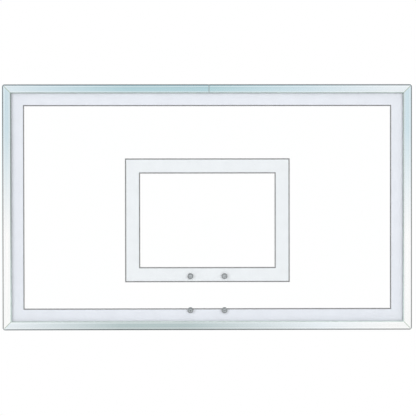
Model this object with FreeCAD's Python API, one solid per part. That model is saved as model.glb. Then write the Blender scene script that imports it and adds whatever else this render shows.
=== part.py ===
import FreeCAD, Part
import math
import os

from FreeCAD import Vector

# A framed glass basketball backboard, in millimetres.
# X runs to the right as seen from the front, Y to the rear and Z up. The origin is the middle
# of the four mounting slots, on the plane where the brackets meet their support.
# An inset is a distance from the outer edge of the frame towards the middle of the board.

# Board, over the outside of the frame
BOARD_WIDTH = 1524.0
BOARD_HEIGHT = 914.4
CORNER_RADIUS = 9.0

# Frame rail: an extrusion with a glazing pocket in front of a hollow chamber
RAIL_FACE = 30.0
OUTER_WALL = 3.0
INNER_WALL = 2.5
FRONT_LIP = 3.0
POCKET_FLOOR = 2.5
CHAMBER_DEPTH = 16.0
REAR_WALL = 3.0
FRONT_EDGE_RADIUS = 6.0
REAR_EDGE_RADIUS = 1.0
LIP_EDGE_RADIUS = 1.2
MITRE_GAP = 0.4
TOP_JOINT_X = 6.5
TOP_JOINT_GAP = 1.2

# Glass, with ground edges
GLASS_THICKNESS = 12.7
GLASS_CORNER_RADIUS = 4.0
GLASS_ARRIS = 1.0

# Glazing gasket: a channel around the edge of the glass, with a rounded nose past the front lip
GASKET_BASE = 4.0
GASKET_SIDE = 2.5
GASKET_REVEAL = 3.4
GASKET_NOSE_RADIUS = 2.0

# Markings, fired onto the rear of the glass, each with a grey keyline along its edges
PRINT_THICKNESS = 0.2
PRINT_CLEARANCE = 0.05
KEYLINE = 4.4
BORDER_VISIBLE = 44.8
TARGET_WIDTH = 609.6
TARGET_HEIGHT = 457.2
TARGET_LINE = 52.0
TARGET_BOTTOM_HEIGHT = 180.0

# Rim fittings: two flanged rubber grommets around a closed steel barrel nut, headed at the rear
RIM_SPACING_X = 127.0
RIM_SPACING_Z = 127.0
RIM_LOWER_ROW = 73.5
RIM_HOLE_RADIUS = 8.7
GROMMET_CLEARANCE = 0.15
GROMMET_FLANGE_WIDTH = 2.0
GROMMET_FLANGE = 2.5
GROMMET_EDGE_RADIUS = 1.2
GROMMET_MEETING_GAP = 0.4
GROMMET_PRINT_GAP = 0.3
RIM_BOLT_RADIUS = 4.7625
BARREL_RADIUS = 7.0
BARREL_CLEARANCE = 0.1
BARREL_HEAD_RADIUS = 10.7
BARREL_HEAD_HEIGHT = 4.0
BARREL_HEAD_ROUND = 1.2
BARREL_THREAD_STOP = 1.5
BARREL_SOCKET_FLATS = 8.0
BARREL_SOCKET_DEPTH = 2.2

# Corner keys and splice bar, held in the chamber by cross-head screws from the rear
KEY_CLEARANCE = 0.2
KEY_LEG = 76.0
KEY_CHAMFER = 2.0
KEY_SCREW_END = 12.0
KEY_SCREW_PITCH = 24.0
SPLICE_HALF_LENGTH = 80.0
SCREW_RADIUS = 2.5
SCREW_HOLE_CLEARANCE = 0.25
SCREW_GRIP = 10.0
SCREW_HEAD_RADIUS = 4.75
SCREW_HEAD_HEIGHT = 3.0
SCREW_HEAD_ROUND = 1.5
SCREW_RECESS_LENGTH = 5.0
SCREW_RECESS_WIDTH = 1.1
SCREW_RECESS_DEPTH = 1.8
THREAD_CLEARANCE = 0.05

# Mounting brackets: bent steel with a foot on the rail and a slotted tab on the support
BRACKET_STANDOFF = 30.0
BRACKET_THICKNESS = 5.0
BRACKET_WIDTH = 76.0
BRACKET_BEND_RADIUS = 5.0
BRACKET_CORNER_RADIUS = 5.0
BRACKET_FOOT_MARGIN = 5.0
BRACKET_TAB_MARGIN = 12.0
MOUNT_SPACING_X = 889.0
SLOT_LENGTH = 28.0
SLOT_WIDTH = 14.3
SLOT_BEND_ROOM = 4.65

# Bracket bolts, with washers on the foot and a nut plate in the chamber
BOLT_RADIUS = 4.0
BOLT_HOLE_CLEARANCE = 0.5
BOLT_SPACING = 44.0
BOLT_HEAD_FLATS = 13.0
BOLT_HEAD_HEIGHT = 5.3
BOLT_END = 2.4
WASHER_RADIUS = 8.0
WASHER_THICKNESS = 1.6
WASHER_BEND_ROOM = 0.75
NUT_PLATE_THICKNESS = 8.0
NUT_PLATE_END = 11.0

# How far a cutting shape stands past what it cuts
OVERCUT = 1.0

# Depths, from the mounting plane at y = 0 to the front
POCKET_DEPTH = GLASS_THICKNESS + 2 * GASKET_SIDE
REAR_Y = -BRACKET_STANDOFF
CHAMBER_REAR_Y = REAR_Y - REAR_WALL
CHAMBER_FRONT_Y = CHAMBER_REAR_Y - CHAMBER_DEPTH
POCKET_REAR_Y = CHAMBER_FRONT_Y - POCKET_FLOOR
POCKET_FRONT_Y = POCKET_REAR_Y - POCKET_DEPTH
FRONT_Y = POCKET_FRONT_Y - FRONT_LIP
GLASS_REAR_Y = POCKET_REAR_Y - GASKET_SIDE
GLASS_FRONT_Y = GLASS_REAR_Y - GLASS_THICKNESS
PRINT_FRONT_Y = GLASS_REAR_Y + PRINT_CLEARANCE
PRINT_REAR_Y = PRINT_FRONT_Y + PRINT_THICKNESS
FOOT_REAR_Y = REAR_Y + BRACKET_THICKNESS
BOLT_SEAT_Y = FOOT_REAR_Y + WASHER_THICKNESS

# Insets
GLASS_INSET = OUTER_WALL + GASKET_BASE
CHAMBER_INNER_INSET = RAIL_FACE - INNER_WALL
CHAMBER_MIDDLE_INSET = (OUTER_WALL + CHAMBER_INNER_INSET) / 2
GASKET_NOSE_INSET = RAIL_FACE + GASKET_REVEAL
BORDER_EDGE_INSET = GASKET_NOSE_INSET + BORDER_VISIBLE
FOOT_INSET = CHAMBER_MIDDLE_INSET - WASHER_RADIUS - BRACKET_FOOT_MARGIN
WEB_INSET = CHAMBER_MIDDLE_INSET + WASHER_RADIUS + WASHER_BEND_ROOM + BRACKET_BEND_RADIUS
WEB_INNER_INSET = WEB_INSET + BRACKET_THICKNESS
SLOT_INSET = WEB_INNER_INSET + BRACKET_BEND_RADIUS + SLOT_BEND_ROOM + SLOT_WIDTH / 2
TAB_INSET = SLOT_INSET + SLOT_WIDTH / 2 + BRACKET_TAB_MARGIN

# Each side of the frame is made at the top and turned about Y to its place
SIDE_TURNS = {"top": 0, "right": 90, "bottom": 180, "left": 270}
LEFT_RIGHT = {"left": -1, "right": 1}
LOWER_UPPER = {"lower": -1, "upper": 1}


def block(x_range, y_range, z_range):
    """A box between two values on each axis."""
    corner = Vector(x_range[0], y_range[0], z_range[0])
    size = Vector(x_range[1], y_range[1], z_range[1]) - corner
    return Part.makeBox(size.x, size.y, size.z, corner)


def centred_block(width, height, y_range, z_middle=0.0):
    """A box centred on x = 0, around a given height."""
    return block((-width / 2, width / 2), y_range, (z_middle - height / 2, z_middle + height / 2))


def rod(radius, point, y_range):
    """A round bar along Y through an (x, z) point."""
    base = Vector(point[0], y_range[0], point[1])
    return Part.makeCylinder(radius, y_range[1] - y_range[0], base, Vector(0, 1, 0))


def plate(points, y_range):
    """A flat piece with an outline of (x, z) points."""
    corners = [Vector(x, y_range[0], z) for x, z in points]
    face = Part.Face(Part.makePolygon(corners + corners[:1]))
    return face.extrude(Vector(0, y_range[1] - y_range[0], 0))


def bar(profile, half_span, length):
    """A straight bar along X at the top of the board, with a profile of (inset, y) points."""
    corners = [Vector(-length / 2, y, half_span - inset) for inset, y in profile]
    face = Part.Face(Part.makePolygon(corners + corners[:1]))
    return face.extrude(Vector(length, 0, 0))


def rectangle(inset_range, y_range):
    """The profile of a plain rectangular bar."""
    return [
        (inset_range[0], y_range[0]),
        (inset_range[1], y_range[0]),
        (inset_range[1], y_range[1]),
        (inset_range[0], y_range[1]),
    ]


def hexagon(point, flats):
    """The corners of a hexagon around an (x, z) point, of a given size across its flats."""
    radius = flats / math.sqrt(3)
    angles = [math.radians(60 * step) for step in range(6)]
    return [(point[0] + radius * math.cos(angle), point[1] + radius * math.sin(angle)) for angle in angles]


def edges_within(solid, x=None, y=None, z=None):
    """The edges that lie wholly at the given coordinates."""
    def lies_at(point):
        pairs = ((point.x, x), (point.y, y), (point.z, z))
        return all(wanted is None or abs(value - wanted) < 1e-6 for value, wanted in pairs)

    def points_on(edge):
        middle = edge.valueAt((edge.FirstParameter + edge.LastParameter) / 2)
        return [vertex.Point for vertex in edge.Vertexes] + [middle]

    return [edge for edge in solid.Edges if all(lies_at(point) for point in points_on(edge))]


def side_sizes(side):
    """The length of a side, and how far its outer face is from the middle of the board."""
    if side in ("top", "bottom"):
        return BOARD_WIDTH, BOARD_HEIGHT / 2
    return BOARD_HEIGHT, BOARD_WIDTH / 2


def turned(solid, side):
    """Turn a piece from the top of the board to its own side."""
    return solid.rotated(Vector(), Vector(0, 1, 0), SIDE_TURNS[side])


def mitre_block(side, gap):
    """The room of one side between the two mitres, at the top of the board."""
    length, half_span = side_sizes(side)
    reach = GASKET_NOSE_INSET + OVERCUT
    half_length = length / 2 - gap / math.sqrt(2)
    points = [
        (-half_length - OVERCUT, half_span + OVERCUT),
        (half_length + OVERCUT, half_span + OVERCUT),
        (half_length - reach, half_span - reach),
        (-half_length + reach, half_span - reach),
    ]
    return plate(points, (FRONT_Y - OVERCUT, REAR_Y + OVERCUT))


def frame_outline():
    """The outside of the whole frame as one block with rounded corners and edges."""
    outline = centred_block(BOARD_WIDTH, BOARD_HEIGHT, (FRONT_Y, REAR_Y))
    for x in (-BOARD_WIDTH / 2, BOARD_WIDTH / 2):
        for z in (-BOARD_HEIGHT / 2, BOARD_HEIGHT / 2):
            outline = outline.makeFillet(CORNER_RADIUS, edges_within(outline, x=x, z=z))
    outline = outline.makeFillet(FRONT_EDGE_RADIUS, edges_within(outline, y=FRONT_Y))
    return outline.makeFillet(REAR_EDGE_RADIUS, edges_within(outline, y=REAR_Y))


def key_screw_points():
    """Where the screws of the corner keys go, two along each leg."""
    last = OUTER_WALL + KEY_CLEARANCE + KEY_LEG - KEY_SCREW_END
    points = []
    for x_sign in LEFT_RIGHT.values():
        for z_sign in LOWER_UPPER.values():
            for along in (last - KEY_SCREW_PITCH, last):
                for x_inset, z_inset in ((along, CHAMBER_MIDDLE_INSET), (CHAMBER_MIDDLE_INSET, along)):
                    points.append((
                        x_sign * (BOARD_WIDTH / 2 - x_inset),
                        z_sign * (BOARD_HEIGHT / 2 - z_inset),
                    ))
    return points


def splice_screw_points():
    """Where the screws of the splice bar go, two on each side of the joint."""
    last = SPLICE_HALF_LENGTH - KEY_SCREW_END
    offsets = (-last, KEY_SCREW_PITCH - last, last - KEY_SCREW_PITCH, last)
    return [(TOP_JOINT_X + offset, BOARD_HEIGHT / 2 - CHAMBER_MIDDLE_INSET) for offset in offsets]


def bracket_bolt_points():
    """Where the bolts of the brackets go, two to each."""
    points = []
    for x_sign in LEFT_RIGHT.values():
        for z_sign in LOWER_UPPER.values():
            for offset in (-BOLT_SPACING / 2, BOLT_SPACING / 2):
                points.append((
                    x_sign * MOUNT_SPACING_X / 2 + offset,
                    z_sign * (BOARD_HEIGHT / 2 - CHAMBER_MIDDLE_INSET),
                ))
    return points


def rim_points():
    """Where the rim bolts on, by name."""
    points = {}
    for row, height in (("lower", RIM_LOWER_ROW), ("upper", RIM_LOWER_ROW + RIM_SPACING_Z)):
        for side, x_sign in LEFT_RIGHT.items():
            points[f"{row}_{side}"] = (x_sign * RIM_SPACING_X / 2, height - BOARD_HEIGHT / 2)
    return points


def rear_wall_holes():
    """The clearance holes in the rear wall of the rails."""
    depth = (CHAMBER_REAR_Y - OVERCUT, REAR_Y + OVERCUT)
    screw_points = key_screw_points() + splice_screw_points()
    screws = [rod(SCREW_RADIUS + SCREW_HOLE_CLEARANCE, point, depth) for point in screw_points]
    bolts = [rod(BOLT_RADIUS + BOLT_HOLE_CLEARANCE, point, depth) for point in bracket_bolt_points()]
    return screws + bolts


def rail(side, outline, holes):
    """One side of the frame, mitred at both ends."""
    length, half_span = side_sizes(side)
    profile = [
        (0, FRONT_Y),
        (RAIL_FACE, FRONT_Y),
        (RAIL_FACE, POCKET_FRONT_Y),
        (OUTER_WALL, POCKET_FRONT_Y),
        (OUTER_WALL, POCKET_REAR_Y),
        (RAIL_FACE, POCKET_REAR_Y),
        (RAIL_FACE, REAR_Y),
        (0, REAR_Y),
    ]
    solid = bar(profile, half_span, length)
    inner_z = half_span - RAIL_FACE
    solid = solid.makeFillet(LIP_EDGE_RADIUS, edges_within(solid, y=FRONT_Y, z=inner_z))
    solid = solid.makeFillet(REAR_EDGE_RADIUS, edges_within(solid, y=REAR_Y, z=inner_z))
    chamber = rectangle((OUTER_WALL, CHAMBER_INNER_INSET), (CHAMBER_FRONT_Y, CHAMBER_REAR_Y))
    solid = solid.cut(bar(chamber, half_span, length + 2 * OVERCUT))
    solid = solid.common(mitre_block(side, MITRE_GAP))
    return turned(solid, side).common(outline).cut(holes)


def top_rail_length(top_rail, side):
    """One of the two lengths that the top rail is made of, up to the butt joint."""
    sign = LEFT_RIGHT[side]
    joint_x = TOP_JOINT_X + sign * TOP_JOINT_GAP / 2
    end_x = sign * (BOARD_WIDTH / 2 + OVERCUT)
    x_range = (min(joint_x, end_x), max(joint_x, end_x))
    return top_rail.common(block(x_range, (FRONT_Y - OVERCUT, 0), (0, BOARD_HEIGHT)))


def gasket(side):
    """One length of the channel that holds the edge of the glass in the pocket."""
    length, half_span = side_sizes(side)
    profile = [
        (OUTER_WALL, POCKET_FRONT_Y),
        (GASKET_NOSE_INSET, POCKET_FRONT_Y),
        (GASKET_NOSE_INSET, GLASS_FRONT_Y),
        (GLASS_INSET, GLASS_FRONT_Y),
        (GLASS_INSET, GLASS_REAR_Y),
        (RAIL_FACE, GLASS_REAR_Y),
        (RAIL_FACE, POCKET_REAR_Y),
        (OUTER_WALL, POCKET_REAR_Y),
    ]
    solid = bar(profile, half_span, length)
    nose_z = half_span - GASKET_NOSE_INSET
    solid = solid.makeFillet(GASKET_NOSE_RADIUS, edges_within(solid, y=POCKET_FRONT_Y, z=nose_z))
    return turned(solid.common(mitre_block(side, 0)), side)


def glass_panel():
    """The clear sheet, with ground edges and four drilled holes for the rim."""
    width = BOARD_WIDTH - 2 * GLASS_INSET
    height = BOARD_HEIGHT - 2 * GLASS_INSET
    sheet = centred_block(width, height, (GLASS_FRONT_Y, GLASS_REAR_Y))
    for x in (-width / 2, width / 2):
        for z in (-height / 2, height / 2):
            sheet = sheet.makeFillet(GLASS_CORNER_RADIUS, edges_within(sheet, x=x, z=z))
    for y in (GLASS_FRONT_Y, GLASS_REAR_Y):
        sheet = sheet.makeChamfer(GLASS_ARRIS, edges_within(sheet, y=y))
    depth = (GLASS_FRONT_Y - OVERCUT, GLASS_REAR_Y + OVERCUT)
    return sheet.cut([rod(RIM_HOLE_RADIUS, point, depth) for point in rim_points().values()])


def printed_frame(outer_width, outer_height, line, z_middle=0.0):
    """A printed rectangular line, left bare around the rim fittings."""
    depth = (PRINT_FRONT_Y, PRINT_REAR_Y)
    around = (PRINT_FRONT_Y - OVERCUT, PRINT_REAR_Y + OVERCUT)
    sheet = centred_block(outer_width, outer_height, depth, z_middle)
    opening = centred_block(outer_width - 2 * line, outer_height - 2 * line, around, z_middle)
    bare_radius = RIM_HOLE_RADIUS + GROMMET_FLANGE_WIDTH + GROMMET_PRINT_GAP
    bare = [rod(bare_radius, point, around) for point in rim_points().values()]
    return sheet.cut([opening] + bare)


def border_prints():
    """The white line around the board from under the gasket's nose, and the keyline on its inner edge."""
    width = BOARD_WIDTH - 2 * RAIL_FACE
    height = BOARD_HEIGHT - 2 * RAIL_FACE
    white = BORDER_EDGE_INSET - KEYLINE / 2 - RAIL_FACE
    marking = printed_frame(width, height, white)
    keyline = printed_frame(width - 2 * white, height - 2 * white, KEYLINE)
    return marking, keyline


def target_prints():
    """The white target rectangle, and the keylines on both its edges."""
    z_middle = TARGET_BOTTOM_HEIGHT + TARGET_HEIGHT / 2 - BOARD_HEIGHT / 2
    inner_width = TARGET_WIDTH - 2 * TARGET_LINE
    inner_height = TARGET_HEIGHT - 2 * TARGET_LINE
    outer_keyline = printed_frame(TARGET_WIDTH + KEYLINE, TARGET_HEIGHT + KEYLINE, KEYLINE, z_middle)
    inner_keyline = printed_frame(inner_width + KEYLINE, inner_height + KEYLINE, KEYLINE, z_middle)
    marking = printed_frame(
        TARGET_WIDTH - KEYLINE, TARGET_HEIGHT - KEYLINE, TARGET_LINE - KEYLINE, z_middle
    )
    return marking, outer_keyline, inner_keyline


def front_grommet(point):
    """A rubber bush whose flange bears on the front of the glass."""
    flange_front_y = GLASS_FRONT_Y - GROMMET_FLANGE
    sleeve_end_y = (GLASS_FRONT_Y + GLASS_REAR_Y - GROMMET_MEETING_GAP) / 2
    flange = rod(RIM_HOLE_RADIUS + GROMMET_FLANGE_WIDTH, point, (flange_front_y, GLASS_FRONT_Y))
    flange = flange.makeFillet(GROMMET_EDGE_RADIUS, edges_within(flange, y=flange_front_y))
    sleeve = rod(RIM_HOLE_RADIUS - GROMMET_CLEARANCE, point, (flange_front_y, sleeve_end_y))
    bore_radius = BARREL_RADIUS + BARREL_CLEARANCE
    bore = rod(bore_radius, point, (flange_front_y - OVERCUT, sleeve_end_y + OVERCUT))
    return flange.fuse(sleeve).removeSplitter().cut(bore)


def rear_grommet(point):
    """The same bush, from the rear of the glass."""
    glass_middle = Vector(0, (GLASS_FRONT_Y + GLASS_REAR_Y) / 2, 0)
    return front_grommet(point).mirror(glass_middle, Vector(0, 1, 0))


def rim_barrel_nut(point):
    """A closed nut, headed at the rear and tapped from the front for one rim bolt."""
    front_y = GLASS_FRONT_Y - GROMMET_FLANGE
    seat_y = GLASS_REAR_Y + GROMMET_FLANGE
    head_rear_y = seat_y + BARREL_HEAD_HEIGHT
    barrel = rod(BARREL_RADIUS, point, (front_y, seat_y + BARREL_HEAD_HEIGHT / 2))
    head = rod(BARREL_HEAD_RADIUS, point, (seat_y, head_rear_y))
    head = head.makeFillet(BARREL_HEAD_ROUND, edges_within(head, y=head_rear_y))
    thread_depth = (front_y - OVERCUT, seat_y - BARREL_THREAD_STOP)
    thread = rod(RIM_BOLT_RADIUS + THREAD_CLEARANCE, point, thread_depth)
    socket_depth = (head_rear_y - BARREL_SOCKET_DEPTH, head_rear_y + OVERCUT)
    socket = plate(hexagon(point, BARREL_SOCKET_FLATS), socket_depth)
    return barrel.fuse(head).removeSplitter().cut([thread, socket])


def key_threads(points):
    """The tapped holes for the screws of the keys and the splice bar."""
    depth = (CHAMBER_FRONT_Y - OVERCUT, CHAMBER_REAR_Y + OVERCUT)
    return [rod(SCREW_RADIUS + THREAD_CLEARANCE, point, depth) for point in points]


def corner_key(x_sign, z_sign):
    """An L that fills the chambers of two rails across their mitre."""
    outer = OUTER_WALL + KEY_CLEARANCE
    inner = CHAMBER_INNER_INSET - KEY_CLEARANCE
    end = outer + KEY_LEG
    insets = [
        (outer, outer),
        (end - KEY_CHAMFER, outer),
        (end, outer + KEY_CHAMFER),
        (end, inner - KEY_CHAMFER),
        (end - KEY_CHAMFER, inner),
        (inner, inner),
        (inner, end - KEY_CHAMFER),
        (inner - KEY_CHAMFER, end),
        (outer + KEY_CHAMFER, end),
        (outer, end - KEY_CHAMFER),
    ]
    points = [
        (x_sign * (BOARD_WIDTH / 2 - x_inset), z_sign * (BOARD_HEIGHT / 2 - z_inset))
        for x_inset, z_inset in insets
    ]
    solid = plate(points, (CHAMBER_FRONT_Y + KEY_CLEARANCE, CHAMBER_REAR_Y - KEY_CLEARANCE))
    return solid.cut(key_threads(key_screw_points()))


def splice_bar():
    """The bar in the chamber behind the butt joint of the top rail."""
    profile = rectangle(
        (OUTER_WALL + KEY_CLEARANCE, CHAMBER_INNER_INSET - KEY_CLEARANCE),
        (CHAMBER_FRONT_Y + KEY_CLEARANCE, CHAMBER_REAR_Y - KEY_CLEARANCE),
    )
    solid = bar(profile, BOARD_HEIGHT / 2, 2 * SPLICE_HALF_LENGTH)
    ends = edges_within(solid, x=-SPLICE_HALF_LENGTH) + edges_within(solid, x=SPLICE_HALF_LENGTH)
    solid = solid.makeChamfer(KEY_CHAMFER, ends)
    solid = solid.translated(Vector(TOP_JOINT_X, 0, 0))
    return solid.cut(key_threads(splice_screw_points()))


def pan_screw(point):
    """A cross-head screw through the rear wall into a key or the splice bar."""
    head_rear_y = REAR_Y + SCREW_HEAD_HEIGHT
    shank = rod(SCREW_RADIUS, point, (CHAMBER_REAR_Y - SCREW_GRIP, head_rear_y - SCREW_HEAD_ROUND))
    head = rod(SCREW_HEAD_RADIUS, point, (REAR_Y, head_rear_y))
    head = head.makeFillet(SCREW_HEAD_ROUND, edges_within(head, y=head_rear_y))
    depth = (head_rear_y - SCREW_RECESS_DEPTH, head_rear_y + OVERCUT)
    middle = Vector(point[0], 0, point[1])
    recess = [
        centred_block(SCREW_RECESS_LENGTH, SCREW_RECESS_WIDTH, depth).translated(middle),
        centred_block(SCREW_RECESS_WIDTH, SCREW_RECESS_LENGTH, depth).translated(middle),
    ]
    return shank.fuse(head).removeSplitter().cut(recess)


def bracket_place(solid, x_sign, z_sign):
    """Move a piece made at the top middle of the board to one of the brackets."""
    placed = solid.translated(Vector(x_sign * z_sign * MOUNT_SPACING_X / 2, 0, 0))
    return placed if z_sign > 0 else turned(placed, "bottom")


def mounting_bracket():
    """A bracket at the top middle of the board: foot, web and slotted tab of one bent plate."""
    half_span = BOARD_HEIGHT / 2
    profile = [
        (FOOT_INSET, REAR_Y),
        (WEB_INNER_INSET, REAR_Y),
        (WEB_INNER_INSET, -BRACKET_THICKNESS),
        (TAB_INSET, -BRACKET_THICKNESS),
        (TAB_INSET, 0),
        (WEB_INSET, 0),
        (WEB_INSET, FOOT_REAR_Y),
        (FOOT_INSET, FOOT_REAR_Y),
    ]
    solid = bar(profile, half_span, BRACKET_WIDTH)
    for inset, y in ((WEB_INSET, FOOT_REAR_Y), (WEB_INNER_INSET, -BRACKET_THICKNESS)):
        solid = solid.makeFillet(BRACKET_BEND_RADIUS, edges_within(solid, y=y, z=half_span - inset))
    for inset, y in ((WEB_INNER_INSET, REAR_Y), (WEB_INSET, 0)):
        bend = edges_within(solid, y=y, z=half_span - inset)
        solid = solid.makeFillet(BRACKET_BEND_RADIUS + BRACKET_THICKNESS, bend)
    for inset in (FOOT_INSET, TAB_INSET):
        for x in (-BRACKET_WIDTH / 2, BRACKET_WIDTH / 2):
            solid = solid.makeFillet(BRACKET_CORNER_RADIUS, edges_within(solid, x=x, z=half_span - inset))
    return solid.cut(bracket_holes())


def bracket_holes():
    """The bolt holes in a bracket's foot and the slot in its tab."""
    foot_depth = (REAR_Y - OVERCUT, FOOT_REAR_Y + OVERCUT)
    tab_depth = (-BRACKET_THICKNESS - OVERCUT, OVERCUT)
    foot_z = BOARD_HEIGHT / 2 - CHAMBER_MIDDLE_INSET
    slot_z = BOARD_HEIGHT / 2 - SLOT_INSET
    slot_straight = SLOT_LENGTH - SLOT_WIDTH
    holes = [centred_block(slot_straight, SLOT_WIDTH, tab_depth, slot_z)]
    for sign in LEFT_RIGHT.values():
        bolt_point = (sign * BOLT_SPACING / 2, foot_z)
        holes.append(rod(BOLT_RADIUS + BOLT_HOLE_CLEARANCE, bolt_point, foot_depth))
        holes.append(rod(SLOT_WIDTH / 2, (sign * slot_straight / 2, slot_z), tab_depth))
    return holes


def nut_plate():
    """The tapped plate in the chamber at the top middle of the board, against the rear wall."""
    profile = rectangle(
        (OUTER_WALL + KEY_CLEARANCE, CHAMBER_INNER_INSET - KEY_CLEARANCE),
        (CHAMBER_REAR_Y - NUT_PLATE_THICKNESS, CHAMBER_REAR_Y),
    )
    solid = bar(profile, BOARD_HEIGHT / 2, BOLT_SPACING + 2 * NUT_PLATE_END)
    depth = (CHAMBER_REAR_Y - NUT_PLATE_THICKNESS - OVERCUT, CHAMBER_REAR_Y + OVERCUT)
    foot_z = BOARD_HEIGHT / 2 - CHAMBER_MIDDLE_INSET
    threads = [
        rod(BOLT_RADIUS + THREAD_CLEARANCE, (sign * BOLT_SPACING / 2, foot_z), depth)
        for sign in LEFT_RIGHT.values()
    ]
    return solid.cut(threads)


def bracket_bolt(point):
    """A hexagon bolt through a bracket's foot into its nut plate."""
    head_rear_y = BOLT_SEAT_Y + BOLT_HEAD_HEIGHT
    head = plate(hexagon(point, BOLT_HEAD_FLATS), (BOLT_SEAT_Y, head_rear_y))
    flat_radius = BOLT_HEAD_FLATS / 2
    wide_radius = flat_radius + BOLT_HEAD_HEIGHT / math.tan(math.radians(30))
    seat = Vector(point[0], BOLT_SEAT_Y, point[1])
    chamfer = Part.makeCone(wide_radius, flat_radius, BOLT_HEAD_HEIGHT, seat, Vector(0, 1, 0))
    tip_y = CHAMBER_REAR_Y - NUT_PLATE_THICKNESS - BOLT_END
    shank = rod(BOLT_RADIUS, point, (tip_y, BOLT_SEAT_Y + BOLT_HEAD_HEIGHT / 2))
    return head.common(chamfer).fuse(shank)


def bracket_washer(point):
    """A flat washer between a bolt head and a bracket's foot."""
    washer = rod(WASHER_RADIUS, point, (FOOT_REAR_Y, BOLT_SEAT_Y))
    hole_depth = (FOOT_REAR_Y - OVERCUT, BOLT_SEAT_Y + OVERCUT)
    return washer.cut(rod(BOLT_RADIUS + BOLT_HOLE_CLEARANCE, point, hole_depth))


def save(name, *shapes):
    """Write one node: a single solid, or a group of like solids."""
    solids = [solid for shape in shapes for solid in shape.Solids]
    if not solids or not all(solid.isValid() and solid.Volume > 0 for solid in solids):
        raise ValueError(f"{name} is not made of sound solids")
    node = solids[0] if len(solids) == 1 else Part.makeCompound(solids)
    node.exportStep(f"parts/{name}.step")


def save_frame():
    """Write the rails, the gaskets, and the keys and screws that join the rails."""
    outline = frame_outline()
    holes = rear_wall_holes()
    top_rail = rail("top", outline, holes)
    for side in LEFT_RIGHT:
        save(f"top_{side}_rail", top_rail_length(top_rail, side))
    for side in ("left", "right", "bottom"):
        save(f"{side}_rail", rail(side, outline, holes))
    for side in SIDE_TURNS:
        save(f"{side}_gasket", gasket(side))
    for row, z_sign in LOWER_UPPER.items():
        for side, x_sign in LEFT_RIGHT.items():
            save(f"{row}_{side}_corner_key", corner_key(x_sign, z_sign))
    save("top_splice_bar", splice_bar())
    save("corner_key_screws", *[pan_screw(point) for point in key_screw_points()])
    save("splice_screws", *[pan_screw(point) for point in splice_screw_points()])


def save_glass():
    """Write the glass, its markings and the rim fittings."""
    save("glass_panel", glass_panel())
    border_marking, border_keyline = border_prints()
    save("border_marking", border_marking)
    save("border_keyline", border_keyline)
    target_marking, outer_keyline, inner_keyline = target_prints()
    save("target_marking", target_marking)
    save("target_outer_keyline", outer_keyline)
    save("target_inner_keyline", inner_keyline)
    for name, point in rim_points().items():
        save(f"{name}_rim_grommet_front", front_grommet(point))
        save(f"{name}_rim_grommet_rear", rear_grommet(point))
        save(f"{name}_rim_barrel_nut", rim_barrel_nut(point))


def save_brackets():
    """Write the mounting brackets and what fastens them."""
    bracket = mounting_bracket()
    nut_plates = []
    for row, z_sign in LOWER_UPPER.items():
        for side, x_sign in LEFT_RIGHT.items():
            save(f"{row}_{side}_mounting_bracket", bracket_place(bracket, x_sign, z_sign))
            nut_plates.append(bracket_place(nut_plate(), x_sign, z_sign))
    save("bracket_nut_plates", *nut_plates)
    save("bracket_bolts", *[bracket_bolt(point) for point in bracket_bolt_points()])
    save("bracket_washers", *[bracket_washer(point) for point in bracket_bolt_points()])


os.makedirs("parts", exist_ok=True)
save_frame()
save_glass()
save_brackets()
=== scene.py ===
"""Finishes, fine fittings, studio and camera for a framed glass basketball backboard.

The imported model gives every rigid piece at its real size, in metres, with X to the right as
seen from the front, Y to the rear and Z up. This script dresses those pieces, models the small
fittings again in more detail, and sets up the light and the camera.
"""
import logging
import math
from collections.abc import Callable
from dataclasses import dataclass
from enum import Enum

import bmesh
import bpy
from mathutils import Matrix, Vector


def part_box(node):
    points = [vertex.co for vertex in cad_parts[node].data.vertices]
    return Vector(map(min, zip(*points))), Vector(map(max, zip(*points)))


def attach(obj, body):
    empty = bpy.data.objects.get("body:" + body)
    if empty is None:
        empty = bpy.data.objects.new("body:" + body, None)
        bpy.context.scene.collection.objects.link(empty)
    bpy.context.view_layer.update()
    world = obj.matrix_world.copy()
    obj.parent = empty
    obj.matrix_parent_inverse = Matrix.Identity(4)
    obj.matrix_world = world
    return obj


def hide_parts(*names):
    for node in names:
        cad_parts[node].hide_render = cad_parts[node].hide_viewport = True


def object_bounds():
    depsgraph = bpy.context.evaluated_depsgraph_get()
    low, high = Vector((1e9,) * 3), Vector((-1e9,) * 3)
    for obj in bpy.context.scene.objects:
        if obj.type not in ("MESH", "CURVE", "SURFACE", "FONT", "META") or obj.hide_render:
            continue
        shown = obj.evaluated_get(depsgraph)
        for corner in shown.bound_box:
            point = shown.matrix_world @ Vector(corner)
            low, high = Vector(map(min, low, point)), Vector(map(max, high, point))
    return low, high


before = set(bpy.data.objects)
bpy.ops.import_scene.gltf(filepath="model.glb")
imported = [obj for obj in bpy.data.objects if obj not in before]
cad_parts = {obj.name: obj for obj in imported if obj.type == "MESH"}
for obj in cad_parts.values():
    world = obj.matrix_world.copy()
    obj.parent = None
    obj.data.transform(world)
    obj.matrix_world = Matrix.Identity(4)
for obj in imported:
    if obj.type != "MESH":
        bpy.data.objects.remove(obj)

CAD_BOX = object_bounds()
LOG = logging.getLogger("backboard")
MM = 0.001

Material = bpy.types.Material
Node = bpy.types.Node
NodeTree = bpy.types.NodeTree
Piece = bpy.types.Object
Socket = bpy.types.NodeSocket

Colour = tuple[float, float, float]
ReflectedTones = tuple[tuple[float, Colour], ...]
Inputs = dict[str | int, object]
Point = tuple[float, float, float]
Profile = tuple[tuple[float, float], ...]
Range = tuple[float, float]

WHITE: Colour = (1.0, 1.0, 1.0)


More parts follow.
